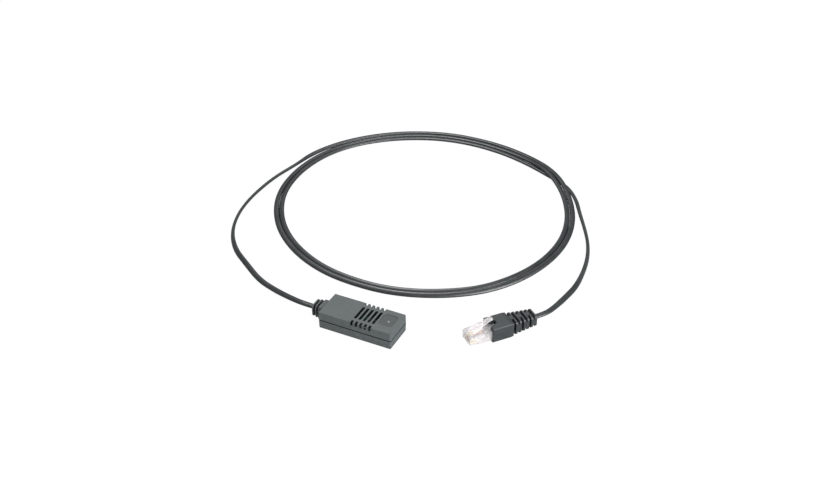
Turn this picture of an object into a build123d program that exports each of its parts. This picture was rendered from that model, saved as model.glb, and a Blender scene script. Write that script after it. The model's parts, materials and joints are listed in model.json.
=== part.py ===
from build123d import *

import os
from math import cos, degrees, hypot, radians, sin, tan

# Rack temperature sensor: a vented plastic pod on a thin flat cable that ends in a modular plug.
# Millimetres. The origin is at the middle of the pod's underside, +Z is up, and +X runs along the
# pod away from its cable, so the camera's side of the pod is at -Y.

os.makedirs("parts", exist_ok=True)

# Pod shells
pod_length = 53.0
pod_width = 23.0
pod_height = 12.5
parting_height = 6.0
corner_radius = 0.9
wall = 1.6
top_wall = 1.6
floor_wall = 1.6
upper_draft = 1.0
lower_draft = 1.5
top_edge_radius = 0.35
bottom_edge_radius = 0.35
groove_height = 0.6
groove_depth = 0.6
tongue_height = 1.0
tongue_thickness = 0.5
tongue_clearance = 0.1

# Vents of the upper shell: long slots on top, short ones over both long edges
vent_count = 5
vent_pitch = 3.25
vent_width = 2.0
vent_length = 13.4
vent_centre_x = 4.6
edge_vent_width = 1.9
edge_vent_inset = 2.6
edge_vent_drop = 2.9

# Shallow recess with the indicator
recess_end_inset = 7.8
recess_offset = 0.8
recess_length = 10.4
recess_width = 12.0
recess_radius = 2.8
recess_depth = 0.3
indicator_inset = 7.2
light_pipe_radius = 0.75
light_pipe_flange_radius = 1.4
light_pipe_flange_height = 0.6
light_pipe_rise = 0.2
light_pipe_gap = 0.3
pipe_clearance = 0.05

# Screws and their bosses, from below, each measured in from a corner of the pod
cable_screw_inset = (5.9, 5.1)
far_screw_inset = (4.9, 5.3)
boss_radius = 2.2
boss_joint_height = 3.9
screw_head_radius = 1.9
screw_head_height = 1.2
screw_head_depth = 1.6
screw_head_clearance = 0.2
screw_shank_radius = 0.95
screw_length = 7.2
screw_hole_radius = 1.15
pilot_clearance = 0.02
pilot_extra = 0.5
cross_width = 0.5
cross_length = 2.2
cross_depth = 0.7

# Circuit board and what it carries
board_cable_inset = 9.0
board_far_inset = 6.0
board_side_inset = 3.0
board_thickness = 1.0
board_bottom = 3.6
board_corner = 0.8
board_boss_clearance = 0.4
post_radius = 1.3
clamp_pin_radius = 1.0
post_cable_inset = 8.4
post_far_inset = 4.0
post_side_inset = 1.9
sensor_chip = (3.9, 4.9, 1.4)
sensor_chip_x = 5.4
memory_chip = (3.0, 3.0, 1.1)
memory_chip_from_header = (8.5, 4.0)
lead_width = 0.4
lead_length = 0.9
lead_thickness = 0.2
lead_pitch = 1.0
led_size = (2.0, 1.3, 0.8)
capacitor_size = (1.6, 0.8, 0.8)
capacitors_from_chip = [(-0.4, 4.6), (-0.4, -4.6)]
capacitors_from_indicator = [(-7.8, 5.0)]
resistor_size = (1.6, 0.8, 0.5)
resistors_from_header = [(8.5, -2.0), (8.5, -4.4)]
resistors_from_indicator = [(-7.8, -4.6), (-4.7, 2.6)]

# Wire header on the board
header_length = 4.5
header_width = 9.0
header_height = 4.0
header_board_inset = 4.5
header_pitch = 2.0
pin_width = 0.5
pin_tail = 0.9
pin_depth_in_header = 2.8
pin_clearance = 0.04

# Flat four-core cable
cord_width = 4.0
cord_thickness = 2.3
cord_clearance = 0.04
core_count = 4
core_radius = 0.375
core_pitch = 0.8
tube_share = 0.45

# Strain relief at the pod, measured out from the pod's end face along -X
boot_height = 6.0
boot_flange_size = (10.0, 8.6)
boot_flange_start = -3.3
boot_flange_gap = 0.2
boot_neck_size = (8.0, 7.0)
boot_collar_size = (12.0, 10.2)
boot_collar_start = -0.7
boot_collar_end = 3.7
boot_core_size = (6.8, 5.8)
boot_ribs = [(5.2, 1.1, 10.4, 9.8), (7.8, 1.0, 9.8, 9.2)]
boot_end = 8.8
boot_radius = 2.4
boot_edge_radius = 0.3
boot_web_height = 3.6
boot_clearance = 0.04
cord_inner_stub = 0.5

# Where the plug lies: its front face's foot and the way from it to its cable
plug_foot = (67.6, 16.2)
plug_heading = 51.0

# Plug body, an 8-way modular plug, measured from its front face
plug_length = 21.46
plug_width = 11.68
plug_height = 6.6
plug_bottom = 1.4
plug_edge_radius = 0.35
contact_count = 8
contact_pitch = 1.02
contact_thickness = 0.35
contact_slot_clearance = 0.05
contact_start = 0.9
contact_length = 5.2
contact_rise = 0.5
wire_start = 1.3
jacket_start = 11.3
plug_cord_height = 5.2
plug_wire_radius = 0.45
cavity_clearance = 0.2

# Pocket under the plug, where its bar is crimped on the jacket
crimp_start = 11.8
crimp_length = 3.4
crimp_width = 7.0
crimp_depth = 1.6

# Latch of the plug
latch_start = 1.0
latch_slope = 23.7
latch_knee = 15.6
latch_end = 17.6
latch_end_slope = 16.0
latch_thickness = 1.0
latch_root_length = 2.2
latch_lift = 0.5
latch_width = 6.0
latch_step = 9.8
latch_tab_width = 3.8

# Plug boot
plug_boot_start = 15.6
plug_boot_body_length = 13.2
plug_boot_size = (14.4, 11.0)
plug_boot_shoulder = 2.1
plug_boot_draft = 9.0
plug_boot_radius = 1.0
plug_boot_rib_radius = 2.2
plug_boot_height = 5.5
plug_boot_gap = 1.75
plug_boot_rib = 1.25
plug_boot_ribs = 6
plug_boot_first_rib = (13.4, 10.4)
plug_boot_last_rib = (10.6, 8.6)
plug_boot_core = (6.8, 4.8)
plug_boot_web = 3.6
plug_boot_web_share = 0.5
plug_boot_clearance = 0.05
hood_notch_clearance = 0.4
hood_notch_end_width = 3.2
hood_notch_length = 5.4

# Coil of about two turns: a slightly uneven ring, radius by angle from its centre
coil_centre = (-27.8, 150.5)
coil_radius = 110.6
coil_oval = 2.1
coil_oval_angle = 41.0
coil_lobe = 1.2
coil_lobe_angle = 142.0
coil_width = 11.0
coil_height = 4.6
coil_edge_radius = 1.7
coil_steps = 18

# Routes of the two free stretches, as corner points of their centre lines
sensor_tail_route = [
    (-45.0, 0.0, 6.0),
    (-56.5, 3.0, 4.2),
    (-71.5, 8.2, 2.3),
    (-89.0, 14.8, 1.9),
    (-107.0, 27.0, 1.9),
    (-124.0, 38.5, 1.9),
    (-138.0, 55.5, 1.9),
    (-147.0, 76.0, 1.9),
    (-151.5, 98.0, 1.9),
    (-152.3, 121.0, 1.9),
    (-150.8, 141.0, 1.9),
    (-146.6, 161.5, 2.0),
    (-141.0, 181.0, 2.0),
]
plug_tail_route = [
    (106.9, 71.2, 4.4),
    (108.8, 86.3, 2.6),
    (111.0, 103.0, 1.9),
    (110.0, 121.0, 1.9),
    (107.0, 139.5, 1.9),
    (100.8, 158.0, 1.9),
    (92.0, 175.5, 1.9),
    (83.0, 193.0, 1.9),
    (72.5, 211.5, 1.8),
    (60.0, 226.0, 1.6),
    (43.8, 234.6, 1.6),
]
plug_tail_first_run = 9.2

# Values worked out from the ones above
upper_depth = pod_height - parting_height
inner_length = pod_length - 2 * wall
inner_width = pod_width - 2 * wall
inner_corner = corner_radius / 2
ceiling = pod_height - top_wall
board_top = board_bottom + board_thickness
board_cable_edge = board_cable_inset - pod_length / 2
board_far_edge = pod_length / 2 - board_far_inset
board_width = pod_width - 2 * board_side_inset
header_centre_x = board_cable_edge + header_board_inset
header_face_x = header_centre_x - header_length / 2
recess_centre = (pod_length / 2 - recess_end_inset, recess_offset)
indicator_x = pod_length / 2 - indicator_inset
screw_places = [
    (cable_screw_inset[0] - pod_length / 2, pod_width / 2 - cable_screw_inset[1]),
    (pod_length / 2 - far_screw_inset[0], far_screw_inset[1] - pod_width / 2),
]
memory_chip_place = (header_centre_x + memory_chip_from_header[0], memory_chip_from_header[1])
capacitor_places = [(sensor_chip_x + x, y) for x, y in capacitors_from_chip]
capacitor_places += [(indicator_x + x, y) for x, y in capacitors_from_indicator]
resistor_places = [(header_centre_x + x, y) for x, y in resistors_from_header]
resistor_places += [(indicator_x + x, y) for x, y in resistors_from_indicator]
plug_boot_rib_start = plug_boot_start + plug_boot_body_length + plug_boot_shoulder
plug_boot_end = plug_boot_rib_start + plug_boot_ribs * (plug_boot_gap + plug_boot_rib)
plug_top = plug_bottom + plug_height
channel_floor = plug_cord_height - plug_wire_radius

pod_frame = Plane(origin=(-pod_length / 2, 0, 0), x_dir=(-1, 0, 0), z_dir=(0, 0, 1))
plug_frame = Plane(
    origin=(plug_foot[0], plug_foot[1], 0),
    x_dir=(cos(radians(plug_heading)), sin(radians(plug_heading)), 0),
    z_dir=(0, 0, 1),
)


def station(frame, distance, height, across=0.0):
    """The plane across a frame's X axis at a distance along it, with its own Y upward."""
    origin = frame.from_local_coords(Vector(distance, across, height))
    return Plane(origin=origin, x_dir=frame.y_dir, z_dir=frame.x_dir)


def side_plane(frame, across):
    """The upright plane along a frame's X axis, with X along it and Y upward."""
    origin = frame.from_local_coords(Vector(0, across, 0))
    return Plane(origin=origin, x_dir=frame.x_dir, z_dir=-frame.y_dir)


def rounded_block(plane, size, radius, length, mode=Mode.ADD, draft=0.0):
    """A rounded rectangle on the plane, extruded along the plane's normal."""
    with BuildSketch(plane) as outline:
        RectangleRounded(size[0], size[1], radius)
    extrude(outline.sketch, amount=length, taper=draft, mode=mode)


def upright_block(x, y, z, size, mode=Mode.ADD):
    """A box by its size, with its middle at (x, y) and its underside at z."""
    with Locations((x, y, z)):
        Box(*size, align=(Align.CENTER, Align.CENTER, Align.MIN), mode=mode)


def post(x, y, z, radius, height, mode=Mode.ADD):
    """An upright cylinder on a point."""
    with Locations((x, y, z)):
        Cylinder(radius, height, align=(Align.CENTER, Align.CENTER, Align.MIN), mode=mode)


def cord_hole(plane, length, clearance=cord_clearance):
    """A hole for the flat cable along the plane's normal."""
    with BuildSketch(plane) as section:
        SlotOverall(cord_width + 2 * clearance, cord_thickness + 2 * clearance)
    extrude(section.sketch, amount=length, mode=Mode.SUBTRACT)


def cord_stretch(plane, length):
    """A straight stretch of the flat cable along the plane's normal."""
    with BuildSketch(plane) as section:
        SlotOverall(cord_width, cord_thickness)
    extrude(section.sketch, amount=length)


def arc_radii(points, closed=False):
    """The largest fair arc at each corner of a route: a share of its shorter run."""
    corners = [Vector(*p) for p in points]
    count = len(corners)
    places = range(count) if closed else range(1, count - 1)
    radii = []
    for i in places:
        before = corners[i] - corners[i - 1]
        after = corners[(i + 1) % count] - corners[i]
        half_turn = radians(before.get_angle(after)) / 2
        radii.append(tube_share * min(before.length, after.length) / tan(half_turn))
    return radii


def cord_tube(points):
    """The flat cable along a route of straight runs and tangent arcs, its broad side level."""
    start = Vector(*points[0])
    heading = (Vector(*points[1]) - start).normalized()
    end_plane = Plane(origin=start, x_dir=Vector(0, 0, 1).cross(heading), z_dir=heading)
    with BuildLine() as route:
        FilletPolyline(*points, radius=arc_radii(points))
    with BuildSketch(end_plane) as section:
        SlotOverall(cord_width, cord_thickness)
    sweep(section.sketch, path=route.line)


def coil_outline(offset):
    """Corner points of the coil's ring at an offset from its middle line."""
    step = 360 / coil_steps
    points = []
    for i in range(coil_steps):
        angle = i * step
        oval = coil_oval * cos(radians(2 * angle + coil_oval_angle))
        lobe = coil_lobe * cos(radians(3 * angle - coil_lobe_angle))
        radius = (coil_radius + oval + lobe + offset) / cos(radians(step / 2))
        x = coil_centre[0] + radius * cos(radians(angle))
        y = coil_centre[1] + radius * sin(radians(angle))
        points.append((x, y))
    return points


def vent_places():
    """X of each vent slot."""
    first = vent_centre_x - vent_pitch * (vent_count - 1) / 2
    return [first + i * vent_pitch for i in range(vent_count)]


def row(count, pitch):
    """Evenly spaced values about zero."""
    return [(i - (count - 1) / 2) * pitch for i in range(count)]


def post_places():
    """The four corners where the board is held."""
    near_x = board_cable_edge + post_cable_inset
    far_x = board_far_edge - post_far_inset
    side_y = board_width / 2 - post_side_inset
    return [(x, y) for x in (near_x, far_x) for y in (-side_y, side_y)]


def strain_relief_opening():
    """The pocket and the hole that the strain relief sits in, cut from a shell's end wall."""
    collar = (boot_collar_size[0] + 2 * boot_clearance, boot_collar_size[1] + 2 * boot_clearance)
    neck = (boot_neck_size[0] + 2 * boot_clearance, boot_neck_size[1] + 2 * boot_clearance)
    inside = station(pod_frame, boot_flange_start, boot_height)
    pocket = station(pod_frame, boot_collar_start, boot_height)
    rounded_block(inside, neck, boot_radius, boot_collar_end - boot_flange_start, Mode.SUBTRACT)
    rounded_block(pocket, collar, boot_radius, boot_collar_end - boot_collar_start, Mode.SUBTRACT)


# Upper shell: drafted cap with vents, recess, screw bosses and pins that hold the board down
with BuildPart() as upper_shell:
    parting = Plane.XY.offset(parting_height)
    rounded_block(parting, (pod_length, pod_width), corner_radius, upper_depth, draft=upper_draft)
    fillet(upper_shell.edges().group_by(Axis.Z)[-1], top_edge_radius)
    rounded_block(
        parting, (inner_length, inner_width), inner_corner, ceiling - parting_height,
        Mode.SUBTRACT, upper_draft,
    )
    with BuildSketch(parting):
        RectangleRounded(pod_length + wall, pod_width + wall, corner_radius)
        RectangleRounded(
            pod_length - 2 * groove_depth, pod_width - 2 * groove_depth, corner_radius - groove_depth,
            mode=Mode.SUBTRACT,
        )
    extrude(amount=groove_height, mode=Mode.SUBTRACT)
    rebate = 2 * (tongue_thickness + tongue_clearance)
    rounded_block(
        parting, (inner_length + rebate, inner_width + rebate), inner_corner + rebate / 2,
        tongue_height + tongue_clearance, Mode.SUBTRACT,
    )
    rounded_block(
        Plane(origin=(*recess_centre, pod_height - recess_depth), x_dir=(1, 0, 0), z_dir=(0, 0, 1)),
        (recess_length, recess_width), recess_radius, top_wall, Mode.SUBTRACT,
    )
    for x in vent_places():
        with BuildSketch(Plane(origin=(x, 0, pod_height), x_dir=(0, 1, 0), z_dir=(0, 0, -1))):
            SlotOverall(vent_length, vent_width)
        extrude(amount=top_wall + wall, mode=Mode.SUBTRACT)
        for side in (-1, 1):
            upright_block(
                x, side * (pod_width / 2 + wall - edge_vent_inset / 2), pod_height - edge_vent_drop,
                (edge_vent_width, 2 * wall + edge_vent_inset, edge_vent_drop + wall), Mode.SUBTRACT,
            )
    for x, y in screw_places:
        post(x, y, boss_joint_height, boss_radius, ceiling - boss_joint_height + top_wall / 2)
        post(
            x, y, boss_joint_height, screw_shank_radius + pilot_clearance,
            screw_head_depth + screw_length + pilot_extra - boss_joint_height, Mode.SUBTRACT,
        )
    for x, y in post_places():
        post(x, y, board_top, clamp_pin_radius, ceiling - board_top + top_wall / 2)
    post(
        indicator_x, 0, ceiling - wall, light_pipe_radius + pipe_clearance, top_wall + 2 * wall,
        Mode.SUBTRACT,
    )
    strain_relief_opening()
upper_shell.part.label = "upper_shell"

# Lower shell: drafted tray with a tongue, board posts and bosses for the screws
with BuildPart() as lower_shell:
    underside = Plane(origin=(0, 0, parting_height), x_dir=(1, 0, 0), z_dir=(0, 0, -1))
    rounded_block(underside, (pod_length, pod_width), corner_radius, parting_height, draft=lower_draft)
    fillet(lower_shell.edges().group_by(Axis.Z)[0], bottom_edge_radius)
    rounded_block(
        underside, (inner_length, inner_width), inner_corner, parting_height - floor_wall,
        Mode.SUBTRACT, lower_draft,
    )
    with BuildSketch(Plane.XY.offset(parting_height)):
        RectangleRounded(
            inner_length + 2 * tongue_thickness, inner_width + 2 * tongue_thickness,
            inner_corner + tongue_thickness,
        )
        RectangleRounded(inner_length, inner_width, inner_corner, mode=Mode.SUBTRACT)
    extrude(amount=tongue_height)
    for x, y in post_places():
        post(x, y, floor_wall / 2, post_radius, board_bottom - floor_wall / 2)
    for x, y in screw_places:
        post(x, y, floor_wall / 2, boss_radius + wall / 2, boss_joint_height - floor_wall / 2)
        with Locations(Plane(origin=(x, y, 0), z_dir=(0, 0, -1))):
            CounterBoreHole(
                screw_hole_radius, screw_head_radius + screw_head_clearance, screw_head_depth,
            )
    strain_relief_opening()
lower_shell.part.label = "lower_shell"

# Two cross-head screws, driven from below into the upper shell
with BuildPart() as shell_screws:
    for x, y in screw_places:
        post(x, y, screw_head_depth - screw_head_height, screw_head_radius, screw_head_height)
        post(x, y, screw_head_depth, screw_shank_radius, screw_length)
        for size in ((cross_length, cross_width), (cross_width, cross_length)):
            upright_block(
                x, y, screw_head_depth - screw_head_height, (*size, cross_depth), Mode.SUBTRACT,
            )
    heads = shell_screws.edges().filter_by(GeomType.CIRCLE).group_by(Axis.Z)[0]
    chamfer(heads, screw_head_height / 4)
shell_screws.part.label = "shell_screws"

# Light pipe: a lens in the recess, with a flange under the upper shell's top
with BuildPart() as indicator_light_pipe:
    led_top = board_top + led_size[2]
    pipe_top = pod_height - recess_depth + light_pipe_rise
    post(indicator_x, 0, led_top + light_pipe_gap, light_pipe_radius, pipe_top - led_top - light_pipe_gap)
    fillet(indicator_light_pipe.edges().group_by(Axis.Z)[-1], light_pipe_rise * 0.9)
    post(
        indicator_x, 0, ceiling - light_pipe_flange_height, light_pipe_flange_radius,
        light_pipe_flange_height,
    )
indicator_light_pipe.part.label = "indicator_light_pipe"

# Circuit board, notched for one boss and drilled for the header
with BuildPart() as circuit_board:
    rounded_block(
        Plane(
            origin=((board_cable_edge + board_far_edge) / 2, 0, board_bottom),
            x_dir=(1, 0, 0), z_dir=(0, 0, 1),
        ),
        (board_far_edge - board_cable_edge, board_width), board_corner, board_thickness,
    )
    for x, y in screw_places:
        post(
            x, y, board_bottom - board_thickness, boss_radius + wall / 2 + board_boss_clearance,
            3 * board_thickness, Mode.SUBTRACT,
        )
    for y in row(core_count, header_pitch):
        pin_hole = pin_width + 2 * pin_clearance
        upright_block(
            header_centre_x, y, board_bottom - board_thickness,
            (pin_hole, pin_hole, 3 * board_thickness), Mode.SUBTRACT,
        )
circuit_board.part.label = "circuit_board"

# Chips, their leads and the small parts, all seated on the board
with BuildPart() as temperature_chip:
    upright_block(sensor_chip_x, 0, board_top, sensor_chip)
temperature_chip.part.label = "temperature_chip"

with BuildPart() as memory_chip_body:
    upright_block(*memory_chip_place, board_top, memory_chip)
memory_chip_body.part.label = "memory_chip"

with BuildPart() as chip_leads:
    for place, size, count in (
        ((sensor_chip_x, 0), sensor_chip, 4),
        (memory_chip_place, memory_chip, 3),
    ):
        for side in (-1, 1):
            for y in row(count, lead_pitch):
                upright_block(
                    place[0] + side * (size[0] + lead_length) / 2, place[1] + y, board_top,
                    (lead_length, lead_width, lead_thickness),
                )
chip_leads.part.label = "chip_leads"

with BuildPart() as indicator_led:
    upright_block(indicator_x, 0, board_top, led_size)
indicator_led.part.label = "indicator_led"

with BuildPart() as capacitors:
    for x, y in capacitor_places:
        upright_block(x, y, board_top, capacitor_size)
capacitors.part.label = "capacitors"

with BuildPart() as resistors:
    for x, y in resistor_places:
        upright_block(x, y, board_top, resistor_size)
resistors.part.label = "resistors"

# Wire header and its pins
with BuildPart() as wire_header:
    upright_block(header_centre_x, 0, board_top, (header_length, header_width, header_height))
    chamfer(wire_header.edges().group_by(Axis.Z)[-1], pin_width)
    for y in row(core_count, header_pitch):
        pin_hole = pin_width + 2 * pin_clearance
        upright_block(
            header_centre_x, y, board_top, (pin_hole, pin_hole, pin_depth_in_header), Mode.SUBTRACT,
        )
wire_header.part.label = "wire_header"

with BuildPart() as header_pins:
    for y in row(core_count, header_pitch):
        upright_block(
            header_centre_x, y, board_bottom - pin_tail,
            (pin_width, pin_width, pin_tail + board_thickness + pin_depth_in_header),
        )
header_pins.part.label = "header_pins"

# Strain relief at the pod: flange and neck in the end wall, collar and ribs outside
with BuildPart() as sensor_boot:
    rounded_block(
        station(pod_frame, boot_flange_start, boot_height), boot_flange_size, boot_radius,
        -wall - boot_flange_gap - boot_flange_start,
    )
    rounded_block(
        station(pod_frame, boot_flange_start, boot_height), boot_neck_size, boot_radius,
        boot_collar_end - boot_flange_start,
    )
    rounded_block(
        station(pod_frame, boot_flange_start, boot_height), boot_core_size, boot_radius,
        boot_end - boot_flange_start,
    )
    rounded_block(
        station(pod_frame, boot_collar_start, boot_height), boot_collar_size, boot_radius,
        boot_collar_end - boot_collar_start,
    )
    for start, thickness, width, height in boot_ribs:
        rounded_block(station(pod_frame, start, boot_height), (width, height), boot_radius, thickness)
    tips = sensor_boot.faces().filter_by(Axis.X).sort_by(Axis.X)
    beyond_x = pod_frame.origin.X - boot_collar_start - wall
    rib_edges = [e for f in tips for e in f.outer_wire().edges() if e.center().X < beyond_x]
    fillet(rib_edges, boot_edge_radius)
    inner_rib_start, _, rib_width, rib_height = boot_ribs[0]
    with BuildSketch(station(pod_frame, boot_collar_end, boot_height)):
        RectangleRounded(rib_width - 2 * boot_edge_radius, rib_height - 2 * boot_edge_radius, boot_radius)
        with Locations((0, -rib_height)):
            Rectangle(rib_width, rib_height + 2 * boot_web_height, mode=Mode.INTERSECT)
    extrude(amount=inner_rib_start - boot_collar_end)
    cord_hole(
        station(pod_frame, boot_flange_start - wall, boot_height),
        boot_end - boot_flange_start + 2 * wall,
    )
sensor_boot.part.label = "sensor_boot"

# Cable inside the strain relief, and its four cores out to the header
stub_start = boot_flange_start - cord_inner_stub
stub_x = pod_frame.origin.X - stub_start
with BuildPart() as cord_end_in_sensor:
    cord_stretch(station(pod_frame, stub_start, boot_height), boot_end - stub_start)
cord_end_in_sensor.part.label = "cord_end_in_sensor"

wire_names = ["black", "red", "green", "yellow"]
board_wires = []
for name, near_y, far_y in zip(wire_names, row(core_count, core_pitch), row(core_count, header_pitch)):
    lift = board_top + header_height / 2
    lead_in = (header_face_x - stub_x) / 4
    with BuildPart() as board_wire:
        with BuildLine():
            FilletPolyline(
                (stub_x, near_y, boot_height),
                (stub_x + lead_in, near_y, boot_height),
                (header_face_x - lead_in, far_y, lift),
                (header_face_x, far_y, lift),
                radius=3 * core_radius,
            )
        with BuildSketch(Plane(origin=(stub_x, near_y, boot_height), z_dir=(1, 0, 0))):
            Circle(core_radius)
        sweep()
    board_wire.part.label = f"board_wire_{name}"
    board_wires.append(board_wire)

# Free stretches of the cable and its coil
boot_exit = (pod_frame.origin.X - boot_end, 0, boot_height)
plug_exit = station(plug_frame, plug_boot_end, plug_cord_height).origin
plug_lead = station(plug_frame, plug_boot_end + plug_tail_first_run, plug_cord_height).origin
sensor_route = [boot_exit, *sensor_tail_route]
plug_route = [tuple(plug_exit), tuple(plug_lead), *plug_tail_route]

with BuildPart() as cord_sensor_tail:
    cord_tube(sensor_route)
cord_sensor_tail.part.label = "cord_sensor_tail"

with BuildPart() as cord_coil:
    with BuildSketch():
        for offset, mode in ((coil_width / 2, Mode.ADD), (-coil_width / 2, Mode.SUBTRACT)):
            outline = coil_outline(offset)
            with BuildLine():
                FilletPolyline(*outline, radius=arc_radii(outline, closed=True), close=True)
            make_face(mode=mode)
    extrude(amount=coil_height)
    rims = cord_coil.edges().group_by(Axis.Z)
    fillet(rims[0] + rims[-1], coil_edge_radius)
cord_coil.part.label = "cord_coil"

with BuildPart() as cord_plug_tail:
    cord_tube(plug_route)
cord_plug_tail.part.label = "cord_plug_tail"

with BuildPart() as cord_end_in_plug:
    cord_stretch(station(plug_frame, jacket_start, plug_cord_height), plug_boot_end - jacket_start)
cord_end_in_plug.part.label = "cord_end_in_plug"

# Plug body: clear block with its latch, contact slots, wire channel and jacket cavity
with BuildPart() as plug_body:
    middle = plug_bottom + plug_height / 2
    rounded_block(
        station(plug_frame, 0, middle), (plug_width, plug_height), plug_edge_radius, plug_length,
    )
    rise = latch_lift + (latch_knee - latch_start) * tan(radians(latch_slope))
    end_rise = rise + (latch_end - latch_knee) * tan(radians(latch_end_slope))
    thickness_up = latch_thickness / cos(radians(latch_slope))
    root_end = latch_start + latch_root_length
    for width, first, last in (
        (latch_width, latch_start, latch_step),
        (latch_tab_width, latch_start, latch_end),
    ):
        with BuildSketch(side_plane(plug_frame, width / 2)):
            with BuildLine():
                Polyline(
                    (latch_start, plug_top - latch_thickness),
                    (latch_start, plug_top + latch_lift),
                    (latch_knee, plug_top + rise),
                    (latch_end, plug_top + end_rise),
                    (latch_end, plug_top + end_rise - latch_thickness),
                    (latch_knee, plug_top + rise - thickness_up),
                    (root_end, plug_top),
                    (root_end, plug_top - latch_thickness),
                    close=True,
                )
            make_face()
            with Locations(((first + last) / 2, plug_top)):
                Rectangle(last - first, 4 * plug_height, mode=Mode.INTERSECT)
        extrude(amount=width)
    for across in row(contact_count, contact_pitch):
        slot = contact_thickness + 2 * contact_slot_clearance
        with BuildSketch(side_plane(plug_frame, across + slot / 2)):
            with BuildLine():
                Polyline(
                    (-wall, plug_bottom - wall),
                    (contact_start + contact_length + contact_slot_clearance, plug_bottom - wall),
                    (contact_start + contact_length + contact_slot_clearance, plug_cord_height),
                    (contact_start, plug_cord_height),
                    (contact_start, plug_bottom + plug_height / 4),
                    (-wall, plug_bottom + plug_height / 4),
                    close=True,
                )
            make_face()
        extrude(amount=slot, mode=Mode.SUBTRACT)
    channel = station(plug_frame, wire_start, plug_cord_height + cavity_clearance / 4)
    with BuildSketch(channel):
        Rectangle(contact_count * contact_pitch, 2 * plug_wire_radius + cavity_clearance / 2)
    extrude(amount=jacket_start - wire_start, mode=Mode.SUBTRACT)
    cord_hole(station(plug_frame, jacket_start, plug_cord_height), plug_length, cavity_clearance)
    with BuildSketch(station(plug_frame, crimp_start, plug_bottom)):
        Rectangle(crimp_width, 2 * crimp_depth)
    extrude(amount=crimp_length, mode=Mode.SUBTRACT)
plug_body.part.label = "plug_body"

# Contact blades: their feet in the slots, their teeth up to the wires
contacts = []
for i, across in enumerate(row(contact_count, contact_pitch)):
    foot = plug_bottom + contact_rise
    shoulder = (foot + channel_floor) / 2
    with BuildPart() as contact:
        with BuildSketch(side_plane(plug_frame, across + contact_thickness / 2)):
            with Locations((contact_start + contact_length / 2, (foot + shoulder) / 2)):
                Rectangle(contact_length, shoulder - foot)
            with Locations((contact_start + contact_length / 2, (foot + channel_floor) / 2)):
                Rectangle(contact_length / 2, channel_floor - foot)
        extrude(amount=contact_thickness)
        cross_edges = contact.edges().filter_by(Axis(plug_frame.origin, plug_frame.y_dir))
        nose = cross_edges.group_by(Axis.Z)[0].sort_by(Axis(plug_frame.origin, plug_frame.x_dir))[0]
        fillet(nose, contact_rise)
    contact.part.label = f"plug_contact_{i + 1}"
    contacts.append(contact)

# The four cores inside the clear plug
plug_wires = []
for name, across in zip(wire_names, row(core_count, contact_pitch)):
    with BuildPart() as plug_wire:
        with BuildSketch(station(plug_frame, wire_start, plug_cord_height, across)):
            Circle(plug_wire_radius)
        extrude(amount=jacket_start - wire_start)
    plug_wire.part.label = f"plug_wire_{name}"
    plug_wires.append(plug_wire)

# Plug boot: hooded sleeve over the plug's rear, then a tapering tail of staggered slots
with BuildPart() as plug_boot:
    rounded_block(
        station(plug_frame, plug_boot_start, plug_boot_height), plug_boot_size, plug_boot_radius,
        plug_boot_body_length,
    )
    rounded_block(
        station(plug_frame, plug_boot_start + plug_boot_body_length, plug_boot_height), plug_boot_size,
        plug_boot_radius, plug_boot_shoulder, draft=plug_boot_draft,
    )
    rounded_block(
        station(plug_frame, plug_boot_rib_start, plug_boot_height), plug_boot_core,
        plug_boot_core[1] / 3, plug_boot_end - plug_boot_rib_start,
    )
    for i in range(plug_boot_ribs):
        share = i / (plug_boot_ribs - 1)
        width, height = (
            a + (b - a) * share for a, b in zip(plug_boot_first_rib, plug_boot_last_rib)
        )
        gap_start = plug_boot_rib_start + i * (plug_boot_gap + plug_boot_rib)
        rib_radius = plug_boot_rib_radius
        if i % 2 == 0:
            web = (plug_boot_web, height)
        else:
            web = (width, height * plug_boot_web_share)
        with BuildSketch(station(plug_frame, gap_start, plug_boot_height)):
            RectangleRounded(width, height, rib_radius)
            Rectangle(*web, mode=Mode.INTERSECT)
        extrude(amount=plug_boot_gap)
        rounded_block(
            station(plug_frame, gap_start + plug_boot_gap, plug_boot_height), (width, height),
            rib_radius, plug_boot_rib,
        )
    fit_clearance = 2 * plug_boot_clearance
    rear_gap = plug_length + plug_boot_clearance - plug_boot_start
    with BuildSketch(station(plug_frame, plug_boot_start, middle)):
        Rectangle(plug_width + fit_clearance, plug_height + fit_clearance)
    extrude(amount=rear_gap, mode=Mode.SUBTRACT)
    notch_half = latch_width / 2 + hood_notch_clearance
    notch_origin = plug_frame.from_local_coords(Vector(plug_boot_start, 0, plug_top))
    with BuildSketch(Plane(origin=notch_origin, x_dir=plug_frame.x_dir, z_dir=(0, 0, 1))):
        with BuildLine():
            Polyline(
                (-wall, -notch_half),
                (0, -notch_half),
                (hood_notch_length, -hood_notch_end_width / 2),
                (hood_notch_length, hood_notch_end_width / 2),
                (0, notch_half),
                (-wall, notch_half),
                close=True,
            )
        make_face()
    extrude(amount=plug_height, mode=Mode.SUBTRACT)
    cord_hole(station(plug_frame, plug_boot_start, plug_cord_height), plug_boot_end)
plug_boot.part.label = "plug_boot"

sub_parts = [
    upper_shell, lower_shell, shell_screws, indicator_light_pipe, circuit_board, temperature_chip,
    memory_chip_body, chip_leads, indicator_led, capacitors, resistors, wire_header, header_pins,
    sensor_boot, cord_end_in_sensor, cord_sensor_tail, cord_coil, cord_plug_tail, cord_end_in_plug,
    plug_body, plug_boot, *board_wires, *contacts, *plug_wires,
]
for sub_part in sub_parts:
    export_step(sub_part.part, f"parts/{sub_part.part.label}.step")

for route_name, route in (("sensor tail", sensor_route), ("plug tail", plug_route)):
    radii = ", ".join(f"{radius:.0f}" for radius in arc_radii(route))
    runs = [(Vector(*b) - Vector(*a)).length for a, b in zip(route, route[1:])]
    print(f"{route_name}: radii {radii}; runs {min(runs):.0f} to {max(runs):.0f} mm")
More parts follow.
